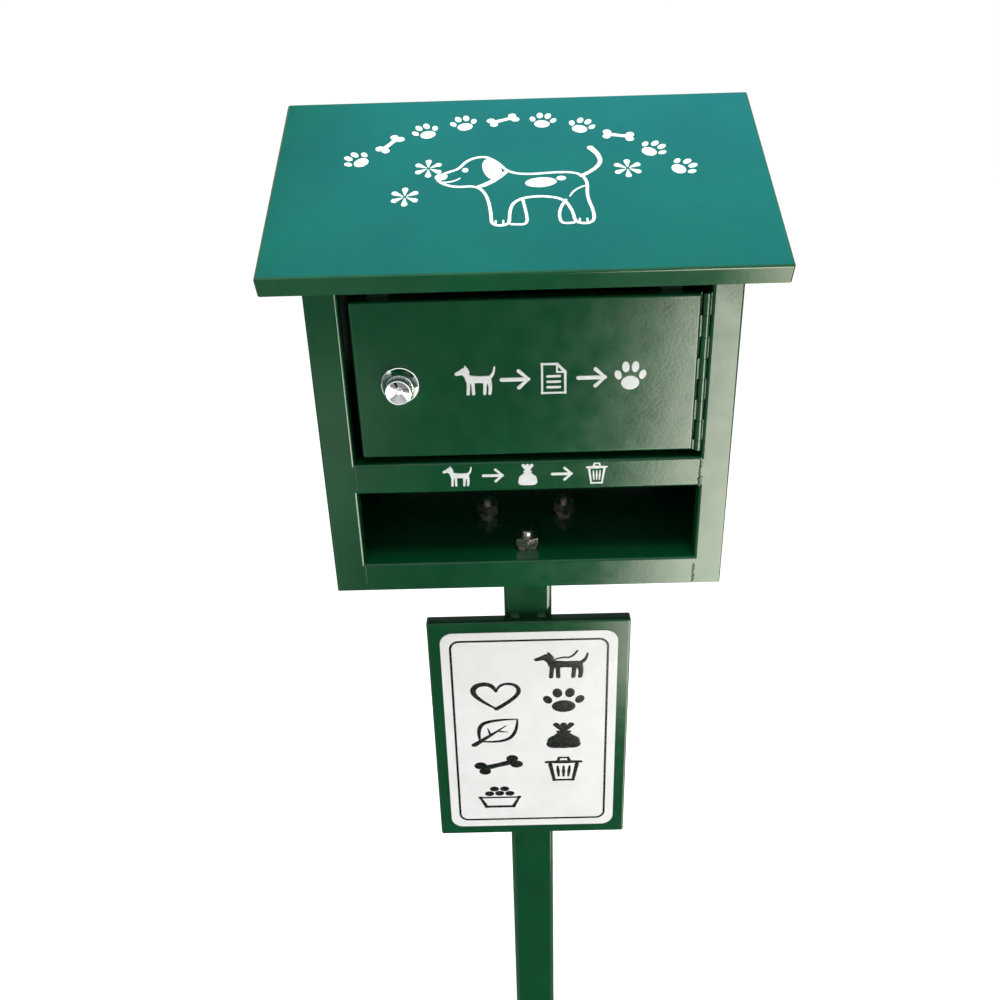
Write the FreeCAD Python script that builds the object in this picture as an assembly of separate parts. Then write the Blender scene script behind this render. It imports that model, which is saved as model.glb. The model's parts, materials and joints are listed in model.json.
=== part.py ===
"""Post-mounted pet waste bag and paper dispenser, in millimetres.

Row frame: the origin is the centre of the foot's underside on the post's axis, +X is to the right
seen from the front, +Y points to the back and +Z up. The cabinet is centred on the post, its door is
hinged on the right and its bag slot lies under the door.
"""
import FreeCAD, Part

import math
import os

# ---- Foot and post ----
foot_side = 200.0
foot_thickness = 8.0
foot_corner_radius = 12.0
anchor_edge = 20.0
anchor_diameter = 12.0
anchor_clearance = 2.0
gusset_reach = 55.0
gusset_height = 70.0
gusset_toe = 10.0
gusset_thickness = 5.0
post_side = 40.0
post_wall = 2.0
post_corner_radius = 4.0
post_weld_leg = 3.0

# ---- Cabinet carcass ----
cabinet_underside = 1000.0
cabinet_width = 300.0
cabinet_depth = 120.0
sheet = 1.5
inside_bend_radius = 0.5
return_depth = 12.0
left_column_width = 23.5
right_column_width = 21.5
bottom_rail_height = 23.5
slot_height = 61.5
middle_rail_height = 24.0
door_opening_height = 128.0
top_rail_height = 43.7
flange_width = 15.0

# ---- Roof ----
roof_side_overhang = 20.0
roof_slope = 25.0
roof_front_overhang = 45.0
roof_rear_overhang = 12.0
roof_rim = 14.0
roof_weld_leg = 4.0
roof_weld_length = 25.0

# ---- Post flange and its bolts ----
post_flange_thickness = 5.0
post_flange_edge = 1.0
bolt_diameter = 10.0
bolt_clearance = 1.0
bolt_across_flats = 17.0
bolt_head_height = 6.4
nut_height = 8.0
washer_diameter = 20.0
washer_thickness = 2.0
bolt_thread_showing = 5.0
bolt_head_to_weld = 0.5

# ---- Door and hinge ----
door_side_gap = 7.0
door_end_gap = 5.5
door_recess = 0.5
door_to_stop = 0.5
hinge_barrel_diameter = 5.2
hinge_pin_diameter = 2.5
hinge_pin_clearance = 0.06
hinge_leaf = 1.0
hinge_proud = 1.2
hinge_to_door = 1.2
knuckle_pitch = 15.6
knuckle_gap = 0.4
moving_gap = 0.4
stop_lap = 3.0
stop_width = 15.0
stop_inset = 12.0

# ---- Latch ----
latch_from_door_edge = 31.5
latch_above_door_foot = 56.5
bezel_diameter = 27.0
bezel_nose_diameter = 19.4
bezel_lip = 1.2
bezel_height = 6.5
barrel_diameter = 18.0
barrel_hole_clearance = 0.2
latch_washer_diameter = 26.0
latch_washer_thickness = 1.0
latch_nut_across_flats = 24.0
latch_nut_height = 4.0
spindle_diameter = 8.0
spindle_clearance = 0.05
knob_diameter = 19.4
knob_length = 8.6
knob_flutes = 36
knob_flute_depth = 0.5
knob_dish_depth = 3.0
cam_gap = 0.5
cam_thickness = 2.5
cam_width = 14.0
cam_bite = 7.5
cam_screw_diameter = 4.0
cam_screw_head_diameter = 8.0
cam_screw_head_height = 2.5
cam_screw_depth = 9.0
cam_washer_diameter = 11.0
cam_washer_thickness = 1.0

# ---- Notice plate ----
sign_width = 172.0
sign_height = 242.5
sign_depth = 10.0
sign_below_cabinet = 54.2
label_side_margin = 10.5
label_end_margin = 10.4
label_corner_radius = 11.0
label_thickness = 0.6
tack_spread = 22.0
tack_length = 7.0
tack_leg = 4.0

# ---- Places worked out from the sizes ----
anchor_spacing = foot_side - 2 * anchor_edge
roof_width = cabinet_width + 2 * roof_side_overhang
label_width = sign_width - 2 * label_side_margin
label_height = sign_height - 2 * label_end_margin
bend_radius = sheet + inside_bend_radius
front = -cabinet_depth / 2
back = cabinet_depth / 2
outer_right = cabinet_width / 2
outer_left = -outer_right
opening_left = outer_left + left_column_width
opening_right = outer_right - right_column_width
slot_foot = cabinet_underside + bottom_rail_height
slot_head = slot_foot + slot_height
door_sill = slot_head + middle_rail_height
door_head = door_sill + door_opening_height
roof_underside_at_front = door_head + top_rail_height
slope = math.radians(roof_slope)
return_back = front + return_depth

hinge_radius = hinge_barrel_diameter / 2
hinge_x = opening_right - hinge_radius - hinge_leaf + moving_gap
hinge_y = front - hinge_proud + hinge_radius

door_face = front + door_recess
door_left = opening_left + door_side_gap
door_right = hinge_x - hinge_radius - hinge_to_door
door_foot = door_sill + door_end_gap
door_top = door_head - door_end_gap
door_flange_depth = return_depth - door_recess - door_to_stop

# The three bolts stand on a circle on which the rear two just clear the weld round the post.
bolt_angles = (-90.0, 30.0, 150.0)
rear_bolt_x = post_side / 2 + post_weld_leg + bolt_head_to_weld + bolt_across_flats / 2
bolt_circle_radius = rear_bolt_x / math.cos(math.radians(bolt_angles[1]))
bolt_hole_radius = (bolt_diameter + bolt_clearance) / 2
post_flange_side = 2 * (bolt_circle_radius + washer_diameter / 2 + post_flange_edge)
flange_top = slot_foot - sheet
flange_foot = flange_top - post_flange_thickness

latch_x = door_left + latch_from_door_edge
latch_z = door_foot + latch_above_door_foot
cam_front = return_depth - door_recess + cam_gap
cam_reach = latch_x - opening_left + cam_bite
spindle_square = 0.7 * spindle_diameter

# ---- Directions ----
RIGHT = FreeCAD.Vector(1, 0, 0)
BACKWARD = FreeCAD.Vector(0, 1, 0)
UP = FreeCAD.Vector(0, 0, 1)


# ======== Shape helpers ========
def block(x0, x1, y0, y1, z0, z1):
    """A box between two corners."""
    return Part.makeBox(x1 - x0, y1 - y0, z1 - z0, FreeCAD.Vector(x0, y0, z0))


def rod(radius, x, y, z0, z1):
    """An upright cylinder."""
    return Part.makeCylinder(radius, z1 - z0, FreeCAD.Vector(x, y, z0), UP)


def prism(corners, height):
    """A polygon in the XY plane, drawn up by height."""
    points = [FreeCAD.Vector(x, y, 0) for x, y in corners]
    wire = Part.makePolygon(points + points[:1])
    return Part.Face(wire).extrude(UP * height)


def turned(profile):
    """A closed outline of (radius, height) points, turned a full circle about Z."""
    points = [FreeCAD.Vector(r, 0, z) for r, z in profile]
    wire = Part.makePolygon(points + points[:1])
    return Part.Face(wire).revolve(FreeCAD.Vector(), UP, 360)


def hexagon(across_flats, z0, z1):
    """A hexagonal bar with two flats across X and its ends chamfered, as on a nut or a bolt head."""
    corner = across_flats / math.sqrt(3)
    corners = [(corner * math.cos(math.radians(a)), corner * math.sin(math.radians(a)))
               for a in range(30, 390, 60)]
    bar = prism(corners, z1 - z0)
    bar.translate(UP * z0)
    chamfer = (corner - across_flats / 2) * 0.6
    flat = across_flats / 2
    limit = turned([(0, z0), (flat, z0), (corner, z0 + chamfer), (corner, z1 - chamfer),
                    (flat, z1), (0, z1)])
    return bar.common(limit)


def is_along(edge, direction):
    """True where a straight edge runs along a direction."""
    span = edge.Vertexes[-1].Point.sub(edge.Vertexes[0].Point)
    return span.Length > 0 and abs(span.dot(direction)) > 0.999 * span.Length


def bent_corner(before, corner, after, radius):
    """Start, middle and end of the arc that rounds a corner of a path."""
    coming = corner.sub(before).normalize()
    going = after.sub(corner).normalize()
    setback = radius * math.tan(coming.getAngle(going) / 2)
    start = corner.sub(coming * setback)
    end = corner.add(going * setback)
    inward = start.add(end).sub(corner * 2).normalize()
    centre = corner.add(inward * math.hypot(radius, setback))
    return start, centre.sub(inward * radius), end


def bent_path(points, radii):
    """The edges of a path whose inner corners are rounded, one radius for each."""
    edges = []
    at = points[0]
    for before, corner, after, radius in zip(points, points[1:], points[2:], radii):
        start, middle, end = bent_corner(before, corner, after, radius)
        edges.append(Part.makeLine(at, start))
        edges.append(Part.Arc(start, middle, end).toShape())
        at = end
    edges.append(Part.makeLine(at, points[-1]))
    return edges


def folded(outer, length):
    """A folded sheet: its outer line in the XY plane, with the metal on the left, drawn up by length."""
    line = [FreeCAD.Vector(x, y, 0) for x, y in outer]
    ways = [b.sub(a).normalize() for a, b in zip(line, line[1:])]
    lefts = [FreeCAD.Vector(-w.y, w.x, 0) for w in ways]
    inner = [line[0].add(lefts[0] * sheet)]
    outer_radii = []
    inner_radii = []
    for corner, way, left, next_way, next_left in zip(line[1:], ways, lefts, ways[1:], lefts[1:]):
        turn = way.cross(next_way).z
        mitre = left.add(next_left)
        inner.append(corner.add(mitre * (2 * sheet / mitre.Length ** 2)))
        outer_radii.append(bend_radius if turn > 0 else bend_radius - sheet)
        inner_radii.append(bend_radius - sheet if turn > 0 else bend_radius)
    inner.append(line[-1].add(lefts[-1] * sheet))
    edges = bent_path(line, outer_radii) + bent_path(inner, inner_radii)
    edges.append(Part.makeLine(line[0], inner[0]))
    edges.append(Part.makeLine(line[-1], inner[-1]))
    wire = Part.Wire(Part.__sortEdges__(edges))
    return Part.Face(wire).extrude(UP * length)


def folded_across(outer, x0, x1):
    """A folded sheet whose line lies in the YZ plane, drawn across from x0 to x1."""
    shape = folded(outer, x1 - x0)
    shape.Placement = FreeCAD.Placement(RIGHT * x0, FreeCAD.Rotation(FreeCAD.Vector(1, 1, 1), 120))
    return shape


def tray(width, height, depth, wall, radius):
    """A shallow tray open to the back: centred on X, its face at Y 0 and its foot at Z 0."""
    def shell(inset, rounding):
        solid = block(inset - width / 2, width / 2 - inset, inset, depth + inset, inset, height - inset)
        rim = depth + inset
        edges = [e for e in solid.Edges if min(v.Y for v in e.Vertexes) < rim - 0.5]
        return solid.makeFillet(rounding, edges)
    trimmed = shell(0, radius)
    return trimmed.cut(shell(wall, radius - wall))


def on_roof(shape):
    """Puts a shape drawn in the roof's own frame in place: X across, Z up the slope, Y down into it."""
    top_at_front = roof_underside_at_front + sheet / math.cos(slope)
    edge_y = front - roof_front_overhang
    edge_z = top_at_front - roof_front_overhang * math.tan(slope)
    turn = FreeCAD.Rotation(RIGHT, roof_slope - 90)
    shape.Placement = FreeCAD.Placement(FreeCAD.Vector(0, edge_y, edge_z), turn)
    return shape


def roof_length():
    """Length of the roof, measured up its slope."""
    return (roof_front_overhang + cabinet_depth + roof_rear_overhang) / math.cos(slope)


def above_roof_underside():
    """All the space over the underside of the roof's sheet, for trimming what ends at it."""
    reach = 2 * (cabinet_width + cabinet_depth)
    return on_roof(block(-reach, reach, -reach, sheet, -reach, reach))


def in_latch(shape):
    """Puts a shape drawn about Z in the latch's place: Z out of the door, X across, Y up."""
    shape.Placement = FreeCAD.Placement(FreeCAD.Vector(latch_x, door_face, latch_z),
                                        FreeCAD.Rotation(RIGHT, 90))
    return shape


def bolt_places():
    """Centres of the bolts that hold the cabinet on the post, the first one in front."""
    angles = [math.radians(a) for a in bolt_angles]
    return [(bolt_circle_radius * math.cos(a), bolt_circle_radius * math.sin(a)) for a in angles]


def at_each_bolt(shape):
    """One copy of a shape at each bolt, as separate solids."""
    copies = []
    for x, y in bolt_places():
        copy = shape.copy()
        copy.translate(FreeCAD.Vector(x, y, 0))
        copies.append(copy)
    return Part.Compound(copies)


def inner_deck(z0, z1):
    """A sheet that fills the cabinet behind the returns, its rear corners rounded to the casing's."""
    deck = block(outer_left + sheet, outer_right - sheet, return_back, back - sheet, z0, z1)
    rear = [e for e in deck.Edges if is_along(e, UP) and e.Vertexes[0].Y > 0]
    return deck.makeFillet(bend_radius, rear)


def rounded_plate(side, z0, z1, radius):
    """A square plate centred on the post, with rounded corners."""
    plate = block(-side / 2, side / 2, -side / 2, side / 2, z0, z1)
    return plate.makeFillet(radius, [e for e in plate.Edges if is_along(e, UP)])


def post_outline(z0, z1):
    """The post's outside as a solid bar."""
    return rounded_plate(post_side, z0, z1, post_corner_radius)


# ======== Foot and post ========
def base_plate():
    plate = rounded_plate(foot_side, 0, foot_thickness, foot_corner_radius)
    reach = anchor_spacing / 2
    hole_radius = (anchor_diameter + anchor_clearance) / 2
    holes = [rod(hole_radius, x, y, -1, foot_thickness + 1)
             for x in (-reach, reach) for y in (-reach, reach)]
    return plate.cut(holes)


def base_gussets():
    """Four ribs between the post and the foot, their inner corners clipped to clear the weld."""
    clip = post_weld_leg + 1
    outline = [(clip, 0), (gusset_reach, 0), (gusset_reach, gusset_toe), (gusset_toe, gusset_height),
               (0, gusset_height), (0, clip)]
    rib = prism(outline, gusset_thickness)
    rib.rotate(FreeCAD.Vector(), RIGHT, 90)
    rib.translate(FreeCAD.Vector(post_side / 2, gusset_thickness / 2, foot_thickness))
    ribs = []
    for turn in range(0, 360, 90):
        copy = rib.copy()
        copy.rotate(FreeCAD.Vector(), UP, turn)
        ribs.append(copy)
    return Part.Compound(ribs)


def post_tube():
    bore_side = post_side - 2 * post_wall
    bore_radius = post_corner_radius - post_wall
    bore = rounded_plate(bore_side, foot_thickness - 1, flange_foot + 1, bore_radius)
    return post_outline(foot_thickness, flange_foot).cut(bore)


def post_weld(z_root, grows):
    """A fillet weld round the post: z_root is the plate's face, grows is 1 up from it or -1 down."""
    half = post_side / 2
    leg = post_weld_leg
    low = min(z_root, z_root + grows * leg)
    bead = block(-half - leg, half + leg, -half - leg, half + leg, low, low + leg)
    far = low + leg if grows > 0 else low
    edges = [e for e in bead.Edges if all(abs(v.Z - far) < 0.01 for v in e.Vertexes)]
    bead = bead.makeChamfer(leg * 0.9, edges)
    return bead.cut(post_outline(low - 1, low + leg + 1))


def base_weld():
    return post_weld(foot_thickness, 1)


def flange_weld():
    return post_weld(flange_foot, -1)


def post_flange():
    plate = rounded_plate(post_flange_side, flange_foot, flange_top, post_corner_radius * 2)
    holes = [rod(bolt_hole_radius, x, y, flange_foot - 1, flange_top + 1) for x, y in bolt_places()]
    return plate.cut(holes)


def flange_bolts():
    """Hexagon bolts, put in from below with their threads up."""
    head = hexagon(bolt_across_flats, flange_foot - bolt_head_height, flange_foot)
    shank_end = slot_foot + washer_thickness + nut_height + bolt_thread_showing
    shank = rod(bolt_diameter / 2, 0, 0, flange_foot, shank_end)
    tip = [e for e in shank.Edges if e.Vertexes[0].Z > shank_end - 0.01 and len(e.Vertexes) == 1]
    return at_each_bolt(head.fuse(shank.makeChamfer(1, tip)).removeSplitter())


def flange_washers():
    ring = rod(washer_diameter / 2, 0, 0, slot_foot, slot_foot + washer_thickness)
    hole = rod(bolt_diameter / 2 + 0.25, 0, 0, slot_foot - 1, slot_foot + washer_thickness + 1)
    return at_each_bolt(ring.cut(hole))


def flange_nuts():
    seat = slot_foot + washer_thickness
    nut = hexagon(bolt_across_flats, seat, seat + nut_height)
    return at_each_bolt(nut.cut(rod(bolt_diameter / 2 + 0.05, 0, 0, seat - 1, seat + nut_height + 1)))


# ======== Cabinet carcass ========
def casing_shell():
    """Back, sides, front columns and their returns, folded from one sheet and cut to the roof."""
    outline = [(opening_right, return_back), (opening_right, front), (outer_right, front),
               (outer_right, back), (outer_left, back), (outer_left, front),
               (opening_left, front), (opening_left, return_back)]
    highest = roof_underside_at_front + cabinet_depth * math.tan(slope)
    shell = folded(outline, highest - cabinet_underside)
    shell.translate(UP * cabinet_underside)
    return shell.cut(above_roof_underside())


def floor_pan():
    """Floor of the bag slot: the bottom rail folded down in front, an upstand folded up at the back."""
    outline = [(return_back, slot_foot), (front, slot_foot), (front, cabinet_underside)]
    rail = folded_across(outline, opening_left, opening_right)
    deck = inner_deck(flange_top, slot_foot)
    rear = block(outer_left + flange_width, outer_right - flange_width,
                 back - 2 * sheet, back - sheet, flange_top, flange_top + flange_width)
    pan = rail.fuse([deck, rear]).removeSplitter()
    holes = [rod(bolt_hole_radius, x, y, flange_top - 1, slot_foot + 1) for x, y in bolt_places()]
    return pan.cut(holes)


def middle_rail():
    outline = [(return_back, door_sill), (front, door_sill), (front, slot_head), (return_back, slot_head)]
    return folded_across(outline, opening_left, opening_right)


def top_rail():
    """Header over the door, its top folded back along the roof's underside."""
    top_y = front + return_depth * math.cos(slope)
    top_z = roof_underside_at_front + return_depth * math.sin(slope)
    outline = [(top_y, top_z), (front, roof_underside_at_front), (front, door_head),
               (return_back, door_head)]
    return folded_across(outline, opening_left, opening_right)


def seam_weld(edge, outwards, z0, z1, folds):
    """Weld ground flush in the groove between a rail's end and a column's fold.

    edge is the opening's edge and outwards is -1 at the left one and 1 at the right one. folds are the
    heights at which the rail is folded, where the weld is rounded as the rail is.
    """
    x0, x1 = sorted((edge, edge + outwards * bend_radius))
    bar = block(x0, x1, front, front + 2 * bend_radius, z0, z1)
    rounded = [e for e in bar.Edges if is_along(e, RIGHT) and e.Vertexes[0].Y < front + 0.01
               and any(abs(e.Vertexes[0].Z - fold) < 0.01 for fold in folds)]
    bar = bar.makeFillet(bend_radius, rounded)
    groove = bar.common(block(x0, x1, front, front + bend_radius, z0, z1))
    return groove.cut(rod(bend_radius, edge + outwards * bend_radius, front + bend_radius, z0 - 1, z1 + 1))


def rail_welds():
    """The three rails' ends, left and right."""
    rails = [(cabinet_underside, slot_foot, (slot_foot,)),
             (slot_head, door_sill, (slot_head, door_sill)),
             (door_head, roof_underside_at_front, (door_head,))]
    return Part.Compound([seam_weld(edge, outwards, *rail) for rail in rails
                          for edge, outwards in ((opening_left, -1), (opening_right, 1))])


def divider_shelf():
    """Floor of the paper compartment, tucked under the middle rail's upper return."""
    top = door_sill - sheet
    tongue_front = front + sheet + bend_radius
    deck = inner_deck(top - sheet, top)
    tongue = block(opening_left, opening_right, tongue_front, return_back, top - sheet, top)
    sides = [block(x, x + sheet, return_back + flange_width, back - flange_width, top - flange_width, top)
             for x in (outer_left + sheet, outer_right - 2 * sheet)]
    rear = block(outer_left + flange_width, outer_right - flange_width,
                 back - 2 * sheet, back - sheet, top - flange_width, top)
    return deck.fuse([tongue, rear] + sides).removeSplitter()


def roof_pan():
    return on_roof(tray(roof_width, roof_length(), roof_rim, sheet, bend_radius))


def roof_welds():
    """Stitch welds under the roof along the outside of both cabinet walls."""
    leg = roof_weld_leg
    stitches = []
    for side in (-1, 1):
        wall = side * outer_right
        section = prism([(wall, sheet), (wall + side * leg, sheet), (wall, sheet + leg)],
                        roof_weld_length)
        for share in (0.25, 0.75):
            stitch = section.copy()
            along = (roof_front_overhang + share * cabinet_depth) / math.cos(slope)
            stitch.translate(UP * (along - roof_weld_length / 2))
            stitches.append(on_roof(Part.Compound([stitch])))
    return Part.Compound(stitches)


# ======== Door and hinge ========
def door_panel():
    door = tray(door_right - door_left, door_top - door_foot, door_flange_depth, sheet, bend_radius)
    door.translate(FreeCAD.Vector((door_left + door_right) / 2, door_face, door_foot))
    hole_radius = barrel_diameter / 2 + barrel_hole_clearance
    hole = in_latch(Part.makeCylinder(hole_radius, 2 * door_flange_depth,
                                      UP * -door_flange_depth, UP))
    return door.cut(hole)


def knuckle_rows():
    """(foot, top, owner) of each knuckle from the top down; 0 is the frame's, 1 is the door's."""
    rows = []
    top = door_top
    while top - door_foot > knuckle_pitch / 4:
        foot = max(top - knuckle_pitch, door_foot)
        rows.append((foot + knuckle_gap / 2, top - knuckle_gap / 2, len(rows) % 2))
        top -= knuckle_pitch
    return rows


def hinge_leaf_with_knuckles(owner, leaf_x, reach_x, bore_radius):
    """One leaf: a strip on its flange, notched where the other leaf has a knuckle."""
    leaf_back = return_back - moving_gap
    notch_back = hinge_y + hinge_radius + moving_gap
    web_front = hinge_y + hinge_radius / 5
    web_back = hinge_y + hinge_radius
    x0 = min(leaf_x, reach_x)
    x1 = max(leaf_x, reach_x)
    strip_edge = leaf_x + hinge_leaf if reach_x > leaf_x else leaf_x - hinge_leaf
    strip_x0 = min(leaf_x, strip_edge)
    strip_x1 = max(leaf_x, strip_edge)
    leaf = block(strip_x0, strip_x1, notch_back, leaf_back, door_foot, door_top)
    for foot, top, row_owner in knuckle_rows():
        if row_owner != owner:
            continue
        tab = block(strip_x0, strip_x1, web_front, notch_back, foot, top)
        web = block(x0, x1, web_front, web_back, foot, top)
        barrel = rod(hinge_radius, hinge_x, hinge_y, foot, top)
        leaf = leaf.fuse([tab, web, barrel])
    bore = rod(bore_radius, hinge_x, hinge_y, door_foot - 1, door_top + 1)
    return leaf.cut(bore).removeSplitter()


def hinge_frame_leaf():
    return hinge_leaf_with_knuckles(0, opening_right, hinge_x, hinge_pin_diameter / 2)


def hinge_door_leaf():
    bore_radius = hinge_pin_diameter / 2 + hinge_pin_clearance
    return hinge_leaf_with_knuckles(1, door_right, hinge_x, bore_radius)


def hinge_pin():
    return rod(hinge_pin_diameter / 2, hinge_x, hinge_y, door_foot, door_top)


def door_stops():
    """Two tabs on the header's return that the closed door comes to."""
    tabs = []
    for left in (door_left + stop_inset, door_right - stop_inset - stop_width):
        tabs.append(block(left, left + stop_width, return_back, return_back + sheet,
                          door_top - stop_lap, door_head + sheet))
    return Part.Compound(tabs)


# ======== Latch ========
def latch_housing():
    """Conical bezel outside and a threaded barrel through the door, bored for the spindle."""
    bore = spindle_diameter / 2 + spindle_clearance
    barrel = barrel_diameter / 2
    barrel_end = -(cam_front - 0.7)
    lip = bezel_diameter / 2
    nose = bezel_nose_diameter / 2
    body = turned([(bore, barrel_end), (barrel, barrel_end), (barrel, 0), (lip, 0), (lip, bezel_lip),
                   (nose, bezel_height), (bore, bezel_height)])
    rims = [e for e in body.Edges
            if len(e.Vertexes) == 1 and e.Vertexes[0].Z > 0.1 and e.BoundBox.XMax > bore + 0.1]
    return in_latch(body.makeFillet(0.4, rims))


def latch_washer():
    back_of_skin = -sheet
    inner = barrel_diameter / 2 + 0.1
    outer = latch_washer_diameter / 2
    low = back_of_skin - latch_washer_thickness
    return in_latch(turned([(inner, low), (outer, low), (outer, back_of_skin), (inner, back_of_skin)]))


def latch_nut():
    top = -sheet - latch_washer_thickness
    foot = top - latch_nut_height
    nut = hexagon(latch_nut_across_flats, foot, top)
    return in_latch(nut.cut(rod(barrel_diameter / 2 + 0.05, 0, 0, foot - 1, top + 1)))


def latch_knob():
    """Fluted knob with a dished face and a centre stub, on a spindle that ends in a square."""
    spindle = spindle_diameter / 2
    rim = knob_diameter / 2
    foot = bezel_height + 0.5
    head = foot + knob_length
    body = turned([(0, -cam_front), (spindle, -cam_front), (spindle, foot), (rim - 0.5, foot),
                   (rim, foot + 0.5), (rim, head - 0.9), (rim - 0.9, head), (rim - 1.4, head),
                   (1.6, head - knob_dish_depth), (1.6, head - knob_dish_depth / 2),
                   (0, head - knob_dish_depth / 2 + 0.4)])
    half = spindle_square / 2
    square = block(-half, half, -half, half, -cam_front - cam_thickness + 0.1, -cam_front)
    body = body.fuse(square)
    width = knob_flute_depth * math.sqrt(2)
    flutes = []
    for i in range(knob_flutes):
        flute = block(-width / 2, width / 2, -width / 2, width / 2, foot - 1, head - 0.9)
        flute.rotate(FreeCAD.Vector(), UP, 45)
        flute.translate(RIGHT * rim)
        flute.rotate(FreeCAD.Vector(), UP, 360 * i / knob_flutes)
        flutes.append(flute)
    hole = rod(cam_screw_diameter / 2 + 0.05, 0, 0, -cam_front - cam_thickness,
               cam_screw_depth - cam_front - cam_thickness + 0.5)
    return in_latch(body.cut(flutes).cut(hole))


def latch_cam():
    """Flat bar on the spindle's square: it hangs down when open and points left when locked."""
    half = cam_width / 2
    square = spindle_square / 2 + spindle_clearance
    foot = -cam_front - cam_thickness
    bar = block(-half, half, -cam_reach, 0, foot, -cam_front)
    tips = [e for e in bar.Edges if is_along(e, UP) and e.Vertexes[0].Y < -cam_reach / 2]
    bar = bar.makeFillet(half * 0.4, tips)
    bar = bar.fuse(rod(half + 1, 0, 0, foot, -cam_front))
    return in_latch(bar.cut(block(-square, square, -square, square, foot - 1, 1 - cam_front)))


def latch_cam_washer():
    top = -cam_front - cam_thickness
    inner = cam_screw_diameter / 2 + 0.1
    outer = cam_washer_diameter / 2
    low = top - cam_washer_thickness
    return in_latch(turned([(inner, low), (outer, low), (outer, top), (inner, top)]))


def latch_cam_screw():
    """Pan-head screw with a cross slot, up the spindle's middle."""
    seat = -cam_front - cam_thickness - cam_washer_thickness
    shank = cam_screw_diameter / 2
    head = cam_screw_head_diameter / 2
    low = seat - cam_screw_head_height
    body = turned([(0, low), (head - 1, low), (head, low + 1), (head, seat), (shank, seat),
                   (shank, cam_screw_depth + seat), (0, cam_screw_depth + seat)])
    slot = 0.5
    arm = head * 0.6
    cross = [block(-arm, arm, -slot, slot, low - 1, low + 1),
             block(-slot, slot, -arm, arm, low - 1, low + 1)]
    return in_latch(body.cut(cross))


# ======== Notice plate ========
def sign_top():
    return cabinet_underside - sign_below_cabinet


def sign_face():
    return -post_side / 2 - sign_depth


def sign_pan():
    pan = tray(sign_width, sign_height, sign_depth, sheet, bend_radius)
    pan.translate(FreeCAD.Vector(0, sign_face(), sign_top() - sign_height))
    return pan


def sign_label():
    """Printed panel stuck to the notice plate."""
    foot = sign_top() - (sign_height + label_height) / 2
    label = block(-label_width / 2, label_width / 2, sign_face() - label_thickness, sign_face(),
                  foot, foot + label_height)
    corners = [e for e in label.Edges if is_along(e, BACKWARD)]
    return label.makeFillet(label_corner_radius, corners)


def sign_welds():
    """Tack welds in the corners between the post's front and the plate's top and bottom flanges."""
    face = -post_side / 2
    tacks = []
    for grows, edge in ((1, sign_top()), (-1, sign_top() - sign_height)):
        for side in (-1, 1):
            corners = [(face, edge), (face - tack_leg, edge), (face, edge + grows * tack_leg)]
            tack = prism(corners, tack_length)
            middle = side * tack_spread / 2
            turn = FreeCAD.Rotation(FreeCAD.Vector(1, 1, 1), 120)
            tack.Placement = FreeCAD.Placement(RIGHT * (middle - tack_length / 2), turn)
            tacks.append(tack)
    return Part.Compound(tacks)


PIECES = [
    base_plate, base_gussets, base_weld, post_tube, flange_weld, post_flange,
    flange_bolts, flange_washers, flange_nuts,
    casing_shell, floor_pan, middle_rail, top_rail, rail_welds, divider_shelf,
    roof_pan, roof_welds,
    door_panel, hinge_frame_leaf, hinge_door_leaf, hinge_pin, door_stops,
    latch_housing, latch_washer, latch_nut, latch_knob, latch_cam, latch_cam_washer, latch_cam_screw,
    sign_pan, sign_label, sign_welds,
]


def main():
    os.makedirs("parts", exist_ok=True)
    for piece in PIECES:
        shape = piece()
        if not shape.isValid():
            raise ValueError(piece.__name__ + " is not a valid shape")
        shape.exportStep("parts/" + piece.__name__ + ".step")
        print(piece.__name__, len(shape.Solids), round(shape.Volume))


main()
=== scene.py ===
import json
import math
import random

import bmesh
import bpy
from mathutils import Matrix, Vector


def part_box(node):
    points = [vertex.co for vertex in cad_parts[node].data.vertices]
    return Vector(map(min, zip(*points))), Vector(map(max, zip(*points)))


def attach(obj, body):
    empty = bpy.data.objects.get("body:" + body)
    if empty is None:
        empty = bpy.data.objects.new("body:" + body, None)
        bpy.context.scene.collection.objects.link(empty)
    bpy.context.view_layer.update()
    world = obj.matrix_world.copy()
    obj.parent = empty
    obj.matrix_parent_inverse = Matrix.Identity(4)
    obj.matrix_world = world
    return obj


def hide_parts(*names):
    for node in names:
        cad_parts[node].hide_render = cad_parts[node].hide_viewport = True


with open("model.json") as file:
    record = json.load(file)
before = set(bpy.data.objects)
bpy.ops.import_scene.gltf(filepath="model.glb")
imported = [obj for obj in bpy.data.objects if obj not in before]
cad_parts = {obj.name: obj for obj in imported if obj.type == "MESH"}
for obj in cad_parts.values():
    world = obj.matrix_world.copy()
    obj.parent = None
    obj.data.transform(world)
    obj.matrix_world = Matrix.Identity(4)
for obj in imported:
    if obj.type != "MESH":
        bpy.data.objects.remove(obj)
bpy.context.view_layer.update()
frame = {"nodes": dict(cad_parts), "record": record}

bl_info = {
    "name": "Pet Waste Bag Dispenser",
    "version": (1, 0, 0),
    "blender": (4, 5, 0),
    "location": "3D View > Sidebar > Dispenser",
    "description": "Powder coat, plating, printed marks and welds of a post-mounted bag dispenser",
    "category": "Object",
}

MM = 0.001


# ======== Colours and nodes ========
def linear(code):
    """The linear red, green and blue of an sRGB hex colour."""
    channels = [int(code[i:i + 2], 16) / 255 for i in (0, 2, 4)]
    return [c / 12.92 if c <= 0.04045 else ((c + 0.055) / 1.055) ** 2.4 for c in channels]


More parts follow.
